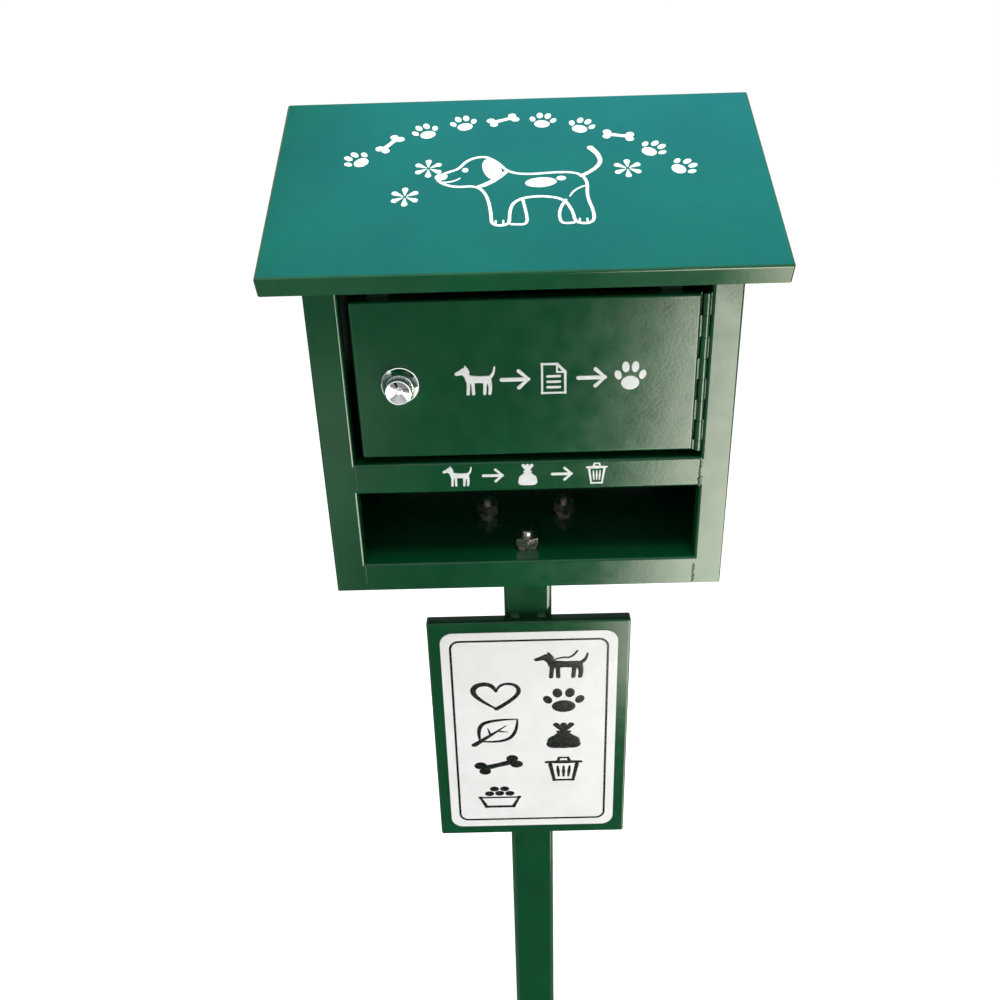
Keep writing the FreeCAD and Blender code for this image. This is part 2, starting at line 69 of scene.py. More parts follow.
def add_node(tree, kind, inputs=None, **settings):
    """Adds a node with its settings. An input's value is a number, a colour or another node's output."""
    node = tree.nodes.new(kind)
    for name, value in settings.items():
        setattr(node, name, value)
    for socket, value in (inputs or {}).items():
        if isinstance(value, bpy.types.NodeSocket):
            tree.links.new(value, node.inputs[socket])
        else:
            node.inputs[socket].default_value = value
    return node


def start_material(name):
    """An empty node material: its tree and the object coordinates that its patterns lie on."""
    material = bpy.data.materials.new(name)
    material.use_nodes = True
    tree = material.node_tree
    tree.nodes.clear()
    place = add_node(tree, "ShaderNodeTexCoord").outputs["Object"]
    return material, tree, place


def finish_material(tree, shader):
    add_node(tree, "ShaderNodeOutputMaterial", {"Surface": shader.outputs["BSDF"]})


def noise(tree, place, grain, detail=2.0, roughness=0.5):
    """Noise whose grains are about this many millimetres across."""
    settings = {"Vector": place, "Scale": 1 / (grain * MM), "Detail": detail, "Roughness": roughness}
    return add_node(tree, "ShaderNodeTexNoise", settings).outputs["Fac"]


def spread(tree, value, low, high, start=0.3, end=0.7):
    """Stretches the middle of a noise over a range of values."""
    settings = {"Value": value, "From Min": start, "From Max": end, "To Min": low, "To Max": high}
    return add_node(tree, "ShaderNodeMapRange", settings).outputs["Result"]


def blend_colours(tree, share, first, second):
    mix = add_node(tree, "ShaderNodeMix", {"Factor": share}, data_type="RGBA")
    mix.inputs["A"].default_value = (*first, 1)
    mix.inputs["B"].default_value = (*second, 1)
    return mix.outputs["Result"]


def ripple(tree, height, depth, normal=None):
    """Turns a height pattern into relief of this many millimetres."""
    inputs = {"Height": height, "Distance": depth * MM, "Strength": 1.0}
    if normal:
        inputs["Normal"] = normal
    return add_node(tree, "ShaderNodeBump", inputs).outputs["Normal"]


# ======== Finishes ========
def gloss_powder_coat():
    """Gloss polyester powder, sprayed dry on steel and baked: deep green, with an orange peel of shallow
    ripples 2 to 3 mm apart that softens the edges of what it mirrors, and a faint cloudiness."""
    # Real peel is a few micrometres deep and hardly shows at this size, so it is drawn deeper.
    colours = bpy.context.scene.dispenser_colours
    sizes = bpy.context.scene.dispenser_sizes
    material, tree, place = start_material("gloss_powder_coat")
    clouds = noise(tree, place, 55, detail=3)
    colour = blend_colours(tree, spread(tree, clouds, 0, 1), colours.coat, colours.coat_thin)
    film = spread(tree, noise(tree, place, 14, detail=4), 0.13, 0.2)
    peel = noise(tree, place, sizes.peel_spacing / MM, detail=0.6)
    pits = noise(tree, place, sizes.peel_spacing / MM / 2.7, detail=0.0)
    waves = noise(tree, place, 11, detail=0.0)
    normal = ripple(tree, waves, 0.03)
    normal = ripple(tree, peel, sizes.peel_depth / MM, normal)
    normal = ripple(tree, pits, sizes.peel_depth / MM / 5, normal)
    shader = add_node(tree, "ShaderNodeBsdfPrincipled", {
        "Base Color": colour, "Roughness": film, "IOR": 1.5, "Normal": normal})
    finish_material(tree, shader)
    return material


def bright_chrome():
    """Decorative chrome plate on a zinc casting: mirror-bright, very slightly uneven, with the lightest
    haze from handling."""
    colours = bpy.context.scene.dispenser_colours
    material, tree, place = start_material("bright_chrome_plate")
    haze = spread(tree, noise(tree, place, 3, detail=4), 0.035, 0.11)
    colour = blend_colours(tree, noise(tree, place, 6), colours.chrome, linear("DADDE0"))
    normal = ripple(tree, noise(tree, place, 1.6, detail=2), 0.006)
    shader = add_node(tree, "ShaderNodeBsdfPrincipled", {
        "Base Color": colour, "Metallic": 1.0, "Roughness": haze, "Normal": normal})
    finish_material(tree, shader)
    return material


def zinc_plate():
    """Passivated electro-zinc on steel fasteners: satin grey with straw patches. Its grey is darkened as
    painted shade, so that the nuts deep in the slot show only faint glints.
    """
    colours = bpy.context.scene.dispenser_colours
    material, tree, place = start_material("passivated_zinc_plate")
    patches = noise(tree, place, 5, detail=3)
    colour = blend_colours(tree, spread(tree, patches, 0, 1), colours.zinc, linear("C9C4AE"))
    satin = spread(tree, noise(tree, place, 1.5, detail=4), 0.24, 0.42)
    normal = ripple(tree, noise(tree, place, 0.7, detail=3), 0.012)
    shader = add_node(tree, "ShaderNodeBsdfPrincipled", {
        "Base Color": colour, "Metallic": 1.0, "Roughness": satin, "Normal": normal})
    finish_material(tree, shader)
    return material


def vinyl_film():
    """White vinyl film stuck to the plate: smooth and satin, with slight waves."""
    colours = bpy.context.scene.dispenser_colours
    material, tree, place = start_material("white_vinyl_film")
    colour = blend_colours(tree, spread(tree, noise(tree, place, 30), 0, 1), colours.film, linear("F4F5F3"))
    satin = spread(tree, noise(tree, place, 8, detail=4), 0.3, 0.42)
    normal = ripple(tree, noise(tree, place, 9), 0.01)
    shader = add_node(tree, "ShaderNodeBsdfPrincipled", {
        "Base Color": colour, "Roughness": satin, "IOR": 1.46, "Normal": normal})
    finish_material(tree, shader)
    return material


def screen_ink(name, colour, worn):
    """Screen-printed ink: opaque and satin, with the mesh's slight unevenness."""
    material, tree, place = start_material(name)
    tint = blend_colours(tree, spread(tree, noise(tree, place, 4, detail=4), 0, 1), colour, worn)
    satin = spread(tree, noise(tree, place, 2, detail=3), 0.2, 0.32)
    # The screen's mesh is 0.1 mm and can't show, so its relief is drawn at 0.6 mm.
    normal = ripple(tree, noise(tree, place, 0.6), 0.006)
    shader = add_node(tree, "ShaderNodeBsdfPrincipled", {
        "Base Color": tint, "Roughness": satin, "IOR": 1.45, "Normal": normal})
    finish_material(tree, shader)
    return material


def white_ink():
    colours = bpy.context.scene.dispenser_colours
    return screen_ink("white_screen_ink", colours.white_ink, linear("EDF1EE"))


def black_ink():
    colours = bpy.context.scene.dispenser_colours
    return screen_ink("black_screen_ink", colours.black_ink, linear("18221D"))


def cover(node, material):
    """Gives a carried-over node one material."""
    mesh = frame["nodes"][node].data
    mesh.materials.clear()
    mesh.materials.append(material)


def nodes_in_slot(slot):
    """The record's nodes that take their finish from a material slot."""
    return [part["node"] for part in frame["record"]["subparts"] if part["material_slot"] == slot]


# ======== Pieces ========
def add_piece(name, bm, material, body):
    """Makes a finished piece from a bmesh that already has its place, and lets it ride on a body."""
    bmesh.ops.recalc_face_normals(bm, faces=bm.faces)
    mesh = bpy.data.meshes.new(name)
    bm.to_mesh(mesh)
    bm.free()
    mesh.shade_smooth()
    mesh.materials.append(material)
    piece = bpy.data.objects.new(name, mesh)
    bpy.context.scene.collection.objects.link(piece)
    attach(piece, body)
    return piece


def turn(profile, steps, closed, place=None):
    """Turns a profile of (radius, height) a full circle about Z; closed joins its end to its start."""
    bm = bmesh.new()
    verts = [bm.verts.new((radius, 0, height)) for radius, height in profile]
    edges = [bm.edges.new(pair) for pair in zip(verts, verts[1:])]
    if closed:
        edges.append(bm.edges.new((verts[-1], verts[0])))
    bmesh.ops.spin(bm, geom=verts + edges, axis=(0, 0, 1), cent=(0, 0, 0), angle=2 * math.pi,
                   steps=steps, use_merge=True)
    bmesh.ops.remove_doubles(bm, verts=bm.verts, dist=0.001 * MM)
    bmesh.ops.recalc_face_normals(bm, faces=bm.faces)
    if place:
        bmesh.ops.transform(bm, matrix=place, verts=bm.verts)
    return bm


def crease(piece, degrees):
    """Shades edges sharper than an angle as edges and the rest as smooth."""
    piece.data.set_sharp_from_angle(angle=math.radians(degrees))


# ======== Printed marks ========
# A mark is drawn in a box one unit high about its middle. Its strokes are (kind, points, widths along
# them): a line has sharp corners and a loop closes it, a curve is smooth and a ring closes it. Its dabs
# are (x, y, half width, half height, turn in degrees).
def paw():
    dabs = [(0, -0.19, 0.27, 0.22, 0)]
    for side in (-1, 1):
        dabs += [(side * 0.36, 0.06, 0.1, 0.15, side * -18), (side * 0.14, 0.3, 0.11, 0.17, side * -5)]
    return [], dabs


def bone():
    strokes = [("line", [(-0.34, -0.12), (0.34, 0.12)], (0.2, 0.16, 0.2))]
    dabs = [(-0.42, -0.02, 0.15, 0.14, 0), (-0.32, -0.24, 0.14, 0.14, 0),
            (0.42, 0.02, 0.15, 0.14, 0), (0.32, 0.24, 0.14, 0.14, 0)]
    return strokes, dabs


def flower():
    """Six separate round-ended petals, pointed at the middle."""
    strokes = []
    for i in range(6):
        a = math.radians(60 * i + 30)
        points = [(r * math.cos(a), r * math.sin(a)) for r in (0.07, 0.38)]
        strokes.append(("line", points, (0.03, 0.13, 0.22)))
    return strokes, []


def small_dog():
    """A plain standing dog from the side."""
    strokes = [
        ("line", [(-0.22, 0.04), (0.3, 0.02)], (0.27, 0.22, 0.25)),
        ("line", [(-0.25, 0.0), (-0.28, -0.42)], (0.12, 0.1, 0.1)),
        ("line", [(-0.13, 0.0), (-0.12, -0.42)], (0.12, 0.1, 0.1)),
        ("line", [(0.24, 0.0), (0.21, -0.42)], (0.14, 0.1, 0.1)),
        ("curve", [(0.34, 0.0), (0.41, -0.2), (0.36, -0.42)], (0.16, 0.1, 0.1)),
        ("curve", [(0.36, 0.08), (0.5, 0.16), (0.52, 0.4)], (0.12, 0.08, 0.05)),
        ("line", [(-0.24, 0.06), (-0.38, 0.28)], (0.2, 0.18, 0.22)),
        ("line", [(-0.38, 0.29), (-0.6, 0.21)], (0.22, 0.15, 0.11)),
        ("line", [(-0.34, 0.44), (-0.27, 0.26)], (0.05, 0.1, 0.12)),
    ]
    return strokes, []


def paper_sheet():
    """A sheet with a turned corner and three ruled lines."""
    outline = [(-0.34, -0.45), (0.34, -0.45), (0.34, 0.2), (0.1, 0.45), (-0.34, 0.45)]
    strokes = [("loop", outline, (0.09,)), ("line", [(0.1, 0.43), (0.1, 0.2), (0.32, 0.2)], (0.07,))]
    strokes += [("line", [(-0.18, y), (0.18, y)], (0.08,)) for y in (-0.27, -0.1, 0.07)]
    return strokes, []


def tied_bag():
    """A full sack, tied round its neck, with its mouth fanned out above."""
    strokes = [("line", [(0, 0.16), (side * 0.17, 0.42)], (0.09, 0.15)) for side in (-1, 0, 1)]
    strokes += [("line", [(-0.13, 0.15), (0.13, 0.15)], (0.09,)),
                ("line", [(0, 0.08), (0, -0.1)], (0.12, 0.5)),
                ("line", [(-0.24, -0.32), (0.24, -0.32)], (0.32, 0.34, 0.32))]
    return strokes, [(0, -0.2, 0.38, 0.26, 0)]


def arrow():
    return [("line", [(-0.4, 0), (0.34, 0)], (0.13,)),
            ("line", [(0.1, 0.26), (0.38, 0), (0.1, -0.26)], (0.12,))], []


def litter_bin():
    strokes = [("line", [(-0.31, 0.18), (-0.22, -0.45), (0.22, -0.45), (0.31, 0.18)], (0.1,)),
               ("line", [(-0.4, 0.27), (0.4, 0.27)], (0.09, 0.13, 0.09)),
               ("line", [(-0.13, 0.32), (-0.1, 0.44), (0.1, 0.44), (0.13, 0.32)], (0.08,))]
    strokes += [("line", [(x, 0.1), (0.8 * x, -0.3)], (0.05, 0.08, 0.05)) for x in (-0.14, 0, 0.14)]
    return strokes, []


def leaf():
    strokes = [("curve", [(-0.4, -0.36), (-0.48, 0.2), (-0.1, 0.46), (0.46, 0.46)], (0.05, 0.14, 0.04)),
               ("curve", [(-0.4, -0.36), (0.1, -0.44), (0.46, -0.06), (0.46, 0.46)], (0.05, 0.12, 0.04)),
               ("curve", [(-0.54, -0.5), (-0.1, -0.08), (0.2, 0.22)], (0.14, 0.08, 0.03)),
               ("line", [(-0.16, -0.12), (-0.22, 0.14)], (0.06, 0.05, 0.02)),
               ("line", [(0.0, 0.02), (0.24, -0.02)], (0.06, 0.05, 0.02))]
    return strokes, []


def heart():
    left = [(0, -0.44), (-0.52, 0.0), (-0.5, 0.44), (-0.08, 0.5), (0, 0.2)]
    right = [(-x, y) for x, y in left]
    return [("curve", left, (0.06, 0.13, 0.17, 0.07)), ("curve", right, (0.12, 0.1, 0.1, 0.05))], []


def food_bowl():
    """A bowl with feed heaped in it."""
    strokes = [("loop", [(-0.46, -0.02), (-0.32, -0.4), (0.32, -0.4), (0.46, -0.02)], (0.11,))]
    dabs = [(x, y, 0.11, 0.1, 0) for x, y in ((-0.24, 0.14), (0, 0.15), (0.24, 0.14), (-0.12, 0.33),
                                            (0.12, 0.33))]
    return strokes, dabs


def lead_walker():
    """A dog on a lead."""
    strokes, dabs = small_dog()
    strokes = strokes + [("curve", [(-0.3, 0.14), (-0.06, 0.3), (0.18, 0.24), (0.3, 0.5)],
                          (0.04, 0.07, 0.05))]
    return strokes, dabs


def large_dog():
    """A standing dog in line work, in millimetres from the middle of its feet."""
    outline = [(-53, 47), (-58, 54), (-50, 60), (-42, 63), (-36, 74), (-24, 78), (-15, 70), (-8, 58),
               (6, 55), (24, 57), (40, 56), (46, 46), (44, 30), (48, 12), (47, 1), (35, 1), (34, 14),
               (29, 27), (16, 31), (2, 30), (-6, 24), (-8, 12), (-8, 1), (-20, 1), (-20, 14),
               (-22, 30), (-26, 40), (-32, 44), (-44, 43)]
    strokes = [
        ("ring", outline, (2.4,)),
        ("curve", [(42, 52), (54, 60), (57, 74), (50, 84)], (3.2, 2.8, 5.0)),
        ("curve", [(1, 29), (3, 16), (4, 3), (0, 1), (-7, 2)], (2.2,)),
        ("curve", [(30, 26), (25, 17), (25, 4), (28, 1), (34, 2)], (2.2,)),
        ("curve", [(-28, 43), (-20, 46), (-10, 58)], (3.4, 5.0, 3.4)),
        ("curve", [(-54, 49), (-46, 48), (-41, 53)], (1.6, 1.8, 1.2)),
        ("curve", [(44, 41), (36, 38), (33, 30)], (1.2, 2.0, 1.2)),
        ("line", [(-17, 2), (-17, 6)], (1.4,)), ("line", [(-12, 2), (-12, 6)], (1.4,)),
        ("line", [(38, 2), (38, 6)], (1.4,)), ("line", [(43, 2), (43, 6)], (1.4,)),
    ]
    dabs = [(-54, 55, 4.6, 3.8, 20), (-37.5, 62, 2.3, 2.6, 0), (-19, 62, 6.4, 13, 14),
            (14, 46, 11, 5.5, 4), (28, 50, 3.4, 2.6, 0)]
    return strokes, dabs


def stroke_curve(strokes):
    """All strokes of a drawing as one curve, each spline as wide along its length as its stroke says."""
    curve = bpy.data.curves.new("strokes", "CURVE")
    curve.dimensions = "3D"
    curve.bevel_depth = 0.5
    curve.bevel_resolution = 2
    curve.resolution_u = 5
    curve.use_fill_caps = True
    for kind, points, widths in strokes:
        if len(points) == 2:
            points = [points[0], tuple((a + b) / 2 for a, b in zip(*points)), points[1]]
        spline = curve.splines.new("POLY" if kind in ("line", "loop") else "NURBS")
        spline.points.add(len(points) - 1)
        for i, (x, y) in enumerate(points):
            share = i / (len(points) - 1) * (len(widths) - 1)
            before = widths[int(share)]
            after = widths[min(int(share) + 1, len(widths) - 1)]
            spline.points[i].co = (x, y, 0, 1)
            spline.points[i].radius = before + (after - before) * (share - int(share))
        if kind in ("curve", "ring"):
            spline.order_u = 3
            spline.use_endpoint_u = kind == "curve"
        spline.use_cyclic_u = kind in ("loop", "ring")
    return curve


def round_places(strokes):
    """Where strokes need a round end or corner: (x, y, width)."""
    places = []
    for kind, points, widths in strokes:
        if kind != "ring":
            places += [(*points[0], widths[0]), (*points[-1], widths[-1])]
        if kind in ("line", "loop"):
            middle = widths[len(widths) // 2]
            places += [(x, y, middle) for x, y in points[1:-1]]
    return places


def draw(marks):
    """A bmesh of flat marks in the XY plane, facing +Z. marks holds (strokes, dabs, matrix) for each, and
    its matrix puts the mark in the plane, in metres."""
    thickness = bpy.context.scene.dispenser_sizes.ink_thickness
    drawn = bmesh.new()
    for strokes, dabs, place in marks:
        mark = bmesh.new()
        if strokes:
            curve = stroke_curve(strokes)
            holder = bpy.data.objects.new("strokes", curve)
            mesh = bpy.data.meshes.new_from_object(holder)
            mark.from_mesh(mesh)
            bpy.data.objects.remove(holder)
            bpy.data.curves.remove(curve)
            bpy.data.meshes.remove(mesh)
        for x, y, width in round_places(strokes):
            bmesh.ops.create_uvsphere(mark, u_segments=12, v_segments=6, radius=width / 2,
                                      matrix=Matrix.Translation((x, y, 0)))
        for x, y, half_width, half_height, turn in dabs:
            shape = (Matrix.Translation((x, y, 0)) @ Matrix.Rotation(math.radians(turn), 4, "Z")
                     @ Matrix.Diagonal((half_width, half_height, half_width, 1)))
            bmesh.ops.create_uvsphere(mark, u_segments=24, v_segments=8, radius=1, matrix=shape)
        bmesh.ops.transform(mark, matrix=place, verts=mark.verts)
        mesh = bpy.data.meshes.new("mark")
        mark.to_mesh(mesh)
        mark.free()
        drawn.from_mesh(mesh)
        bpy.data.meshes.remove(mesh)
    tallest = max(v.co.z for v in drawn.verts)
    bmesh.ops.scale(drawn, vec=(1, 1, thickness / tallest), verts=drawn.verts)
    return drawn


def at(x, y, height, turn=0.0, width=None):
    """Puts a unit mark at x, y in the plane, height metres high and as wide, or width if given."""
    scale = Matrix.Diagonal((width or height, height, height, 1))
    return Matrix.Translation((x, y, 0)) @ Matrix.Rotation(turn, 4, "Z") @ scale


def upright_plane(x, y, z):
    """Turns the drawing plane to face the front, its middle at a point."""
    return Matrix.Translation((x, y, z)) @ Matrix.Rotation(math.radians(90), 4, "X")


def roof_plane():
    """Turns the drawing plane onto the roof: its origin in the middle of the front edge, Y up the slope."""
    slope = bpy.context.scene.dispenser_sizes.roof_slope
    up_slope = Vector((0, math.cos(slope), math.sin(slope)))
    outward = Vector((0, -math.sin(slope), math.cos(slope)))
    corners = [v.co for v in frame["nodes"]["roof_pan"].data.vertices]
    edge = min(up_slope.dot(c) for c in corners)
    face = max(outward.dot(c) for c in corners)
    return Matrix.Translation(up_slope * edge + outward * face) @ Matrix.Rotation(slope, 4, "X")


def row_of(marks, middle_x, middle_y, pitch, height):
    """Unit marks side by side, their middle at a point."""
    start = middle_x - pitch * (len(marks) - 1) / 2
    return [(*mark(), at(start + i * pitch, middle_y, height)) for i, mark in enumerate(marks)]


# ======== Properties ========
class DispenserSizes(bpy.types.PropertyGroup):
    ink_thickness: bpy.props.FloatProperty(
        name="Ink thickness", description="How far a printed mark stands off its surface",
        default=0.06 * MM, unit="LENGTH", precision=5)
    peel_spacing: bpy.props.FloatProperty(
        name="Peel spacing", description="Distance between the ripples of the powder coat",
        default=2.4 * MM, unit="LENGTH", precision=5)
    peel_depth: bpy.props.FloatProperty(
        name="Peel depth", description="Depth of the ripples of the powder coat",
        default=0.02 * MM, unit="LENGTH", precision=6)
    roof_slope: bpy.props.FloatProperty(
        name="Roof slope", description="Slope of the roof from level",
        default=math.radians(25), unit="ROTATION")
    arc_mark: bpy.props.FloatProperty(
        name="Arc mark", description="Height of each small mark on the roof",
        default=21 * MM, unit="LENGTH")
    door_mark: bpy.props.FloatProperty(
        name="Door mark", description="Height of each mark on the door",
        default=24 * MM, unit="LENGTH")
    rail_mark: bpy.props.FloatProperty(
        name="Rail mark", description="Height of each mark on the middle rail",
        default=18 * MM, unit="LENGTH")
    sign_mark: bpy.props.FloatProperty(
        name="Sign mark", description="Height of each mark on the notice plate",
        default=30 * MM, unit="LENGTH")
    line_inset: bpy.props.FloatProperty(
        name="Line inset", description="Distance of the printed line from the panel's edge",
        default=7.5 * MM, unit="LENGTH")
    line_width: bpy.props.FloatProperty(
        name="Line width", description="Width of the printed line",
        default=2.0 * MM, unit="LENGTH", precision=4)
    bezel_nose: bpy.props.FloatProperty(
        name="Bezel nose", description="Radius of the flat nose of the latch's bezel",
        default=9.7 * MM, unit="LENGTH", precision=4)
    latch_barrel: bpy.props.FloatProperty(
        name="Latch barrel", description="Radius of the latch's threaded barrel",
        default=9 * MM, unit="LENGTH", precision=4)
    latch_bore: bpy.props.FloatProperty(
        name="Latch bore", description="Radius of the hole that the spindle turns in",
        default=4.05 * MM, unit="LENGTH", precision=5)
    cam_thickness: bpy.props.FloatProperty(
        name="Cam thickness", description="Length of the spindle's square in the cam",
        default=2.4 * MM, unit="LENGTH", precision=4)
    spindle_square: bpy.props.FloatProperty(
        name="Spindle square", description="Width of the spindle's square",
        default=5.6 * MM, unit="LENGTH", precision=4)
    knob_teeth: bpy.props.IntProperty(
        name="Knob teeth", description="Number of teeth of the knob's knurl", default=32, min=8)
    knurl_depth: bpy.props.FloatProperty(
        name="Knurl depth", description="Depth of the knob's knurl",
        default=0.6 * MM, unit="LENGTH", precision=4)
    bead_radius: bpy.props.FloatProperty(
        name="Bead radius", description="Radius of one ripple of a weld bead on the front",
        default=1.3 * MM, unit="LENGTH", precision=4)


def colour_setting(name, description, code):
    return bpy.props.FloatVectorProperty(name=name, description=description, subtype="COLOR", size=3,
                                         min=0, max=1, default=linear(code))


class DispenserColours(bpy.types.PropertyGroup):
    coat: colour_setting("Coat", "Powder coat", "0A4A2A")
    coat_thin: colour_setting("Thin coat", "Powder coat where the film is thinner", "0C5330")
    chrome: colour_setting("Chrome", "Chrome plate", "EEF0F2")
    # Darker than clean zinc plate: painted shade for the nuts that sit in the dark slot.
    zinc: colour_setting("Zinc", "Zinc plate", "7A7F84")
    film: colour_setting("Film", "Vinyl film of the notice", "FCFCFB")
    white_ink: colour_setting("White ink", "Ink on the green pieces", "FAFCFA")
    black_ink: colour_setting("Black ink", "Ink on the notice", "0C1410")


# ======== Operators ========
class DISPENSER_OT_coat_steelwork(bpy.types.Operator):
    """Powder coats the foot, post, cabinet, roof, door, hinge and notice plate"""
    bl_idname = "dispenser.coat_steelwork"
    bl_label = "Coat Steelwork"

    def execute(self, context):
        coat = gloss_powder_coat()
        for node in nodes_in_slot("powder_coat"):
            cover(node, coat)
        return {"FINISHED"}


class DISPENSER_OT_plate_fasteners(bpy.types.Operator):
    """Zinc plates the bolts, nuts, washers, cam and hinge pin"""
    bl_idname = "dispenser.plate_fasteners"
    bl_label = "Plate Fasteners"

    def execute(self, context):
        zinc = zinc_plate()
        for node in nodes_in_slot("zinc_plate"):
            cover(node, zinc)
        return {"FINISHED"}


class DISPENSER_OT_make_latch(bpy.types.Operator):
    """Turns the latch's bezel with its threaded barrel and its knurled knob, and chrome plates them"""
    bl_idname = "dispenser.make_latch"
    bl_label = "Make Latch"

    def execute(self, context):
        chrome = bright_chrome()
        for node in nodes_in_slot("chrome"):
            cover(node, chrome)
        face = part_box("door_panel")[0].y
        lo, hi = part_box("latch_housing")
        plane = upright_plane((lo.x + hi.x) / 2, face, (lo.z + hi.z) / 2)
        self.make_bezel(lo, hi, face, plane, chrome)
        self.make_knob(face, plane, chrome)
        return {"FINISHED"}

    def make_bezel(self, lo, hi, face, plane, chrome):
        """Rolled lip, hollow-ground cone and flat nose outside; fine thread inside the door."""
        sizes = bpy.context.scene.dispenser_sizes
        lip, height, foot = (hi.x - lo.x) / 2, face - lo.y, face - hi.y
        nose, barrel, bore = sizes.bezel_nose, sizes.latch_barrel, sizes.latch_bore
        profile = [(bore, foot), (barrel - 0.6 * MM, foot)]
        pitch = 1.0 * MM
        for i in range(int(-foot / pitch) - 2):
            profile += [(barrel, foot + (i + 0.6) * pitch), (barrel - 0.5 * MM, foot + (i + 1.1) * pitch)]
        profile += [(barrel - 0.5 * MM, 0), (lip - 0.3 * MM, 0), (lip, 0.3 * MM), (lip, 0.8 * MM),
                    (lip - 0.35 * MM, 1.15 * MM), (lip - 0.8 * MM, 1.2 * MM)]
        steps = 7
        run, rise = lip - 0.8 * MM - nose, height - 0.4 * MM - 1.2 * MM
        for i in range(1, steps + 1):
            share = i / steps
            hollow = 0.35 * MM * math.sin(math.pi * share)
            profile.append((lip - 0.8 * MM - run * share - hollow, 1.2 * MM + rise * share))
        profile += [(nose - 0.15 * MM, height - 0.12 * MM), (nose - 0.5 * MM, height), (bore, height)]
        bezel = add_piece("latch_bezel", turn(profile, 96, closed=True, place=plane), chrome, "door")
        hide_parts("latch_housing")
        crease(bezel, 35)

    def make_knob(self, face, plane, chrome):
        """Straight-knurled rim, dished face with a centre stub, and the spindle with its square."""
        sizes = bpy.context.scene.dispenser_sizes
        lo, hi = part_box("latch_knob")
        rim, head, tail = (hi.x - lo.x) / 2, face - lo.y, face - hi.y
        spindle, shoulder = sizes.latch_bore - 0.05 * MM, tail + sizes.cam_thickness
        foot = -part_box("latch_housing")[0].y + face + 0.5 * MM
        stub = 1.6 * MM
        profile = [(0, shoulder), (spindle, shoulder), (spindle, foot), (rim - 0.7 * MM, foot),
                   (rim, foot + 0.5 * MM), (rim, head - 1.3 * MM), (rim - 0.45 * MM, head - 0.75 * MM),
                   (rim - 0.7 * MM, head - 0.2 * MM), (rim - 1.0 * MM, head), (rim - 1.5 * MM, head),
                   (rim - 1.8 * MM, head - 0.15 * MM)]
        profile += [(stub + (rim - 1.8 * MM - stub) * (1 - share), head - 0.15 * MM - 2.7 * MM * share)
                    for share in (0.33, 0.66, 1)]
        profile += [(stub, head - 1.6 * MM), (stub - 0.3 * MM, head - 1.3 * MM), (0, head - 1.15 * MM)]
        teeth = sizes.knob_teeth
        bm = turn(profile, teeth * 4, closed=False)
        for vert in bm.verts:
            radius = vert.co.xy.length
            low, high = foot + 0.3 * MM, head - 0.6 * MM
            if radius > rim - 0.6 * MM and low < vert.co.z < high:
                angle = math.atan2(vert.co.y, vert.co.x)
                depth = sizes.knurl_depth * (0.5 - 0.5 * math.cos(teeth * angle))
                vert.co.xy *= (radius - depth) / radius
        half = sizes.spindle_square / 2
        square = Matrix.Translation((0, 0, (tail + shoulder) / 2)) @ Matrix.Diagonal(
            (2 * half, 2 * half, shoulder - tail, 1))
        bmesh.ops.create_cube(bm, size=1, matrix=square)
        bmesh.ops.transform(bm, matrix=plane, verts=bm.verts)
        knob = add_piece("latch_grip", bm, chrome, "latch")
        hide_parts("latch_knob")
        crease(knob, 38)


class DISPENSER_OT_add_seam_beads(bpy.types.Operator):
    """Adds the rough painted beads at the ends of the front rails"""
    bl_idname = "dispenser.add_seam_beads"
    bl_label = "Add Seam Beads"

    def execute(self, context):
        radius = context.scene.dispenser_sizes.bead_radius
        chance = random.Random(7)
        rail_lo, rail_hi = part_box("middle_rail")
        front, left, right = rail_lo.y, rail_lo.x, rail_hi.x
        low_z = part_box("floor_pan")[0].z
        slot_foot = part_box("flange_washers")[0].z
        # Each seam's side, foot and top, and how heavy its bead is.
        seams = [(left, low_z + 6 * MM, slot_foot, 0.6), (right, low_z + 2 * MM, slot_foot - 6 * MM, 0.7),
                 (right, rail_lo.z + 1 * MM, rail_hi.z, 1.0), (left, rail_lo.z + 5 * MM, rail_hi.z, 0.35)]
        bm = bmesh.new()
        for x, z0, z1, size in seams:
            z = z0
            while z < z1:
                r = radius * size * chance.uniform(0.7, 1.2)
                spot = Vector((x + chance.uniform(-0.5, 0.5) * MM, front, z))
                stretch = Matrix.Diagonal((chance.uniform(0.7, 1.3), 0.38, 1, 1))
                bmesh.ops.create_icosphere(bm, subdivisions=2, radius=r,
                                           matrix=Matrix.Translation(spot) @ stretch)
                z += 1.25 * r
        add_piece("seam_beads", bm, bpy.data.materials["gloss_powder_coat"], "stand")
        return {"FINISHED"}


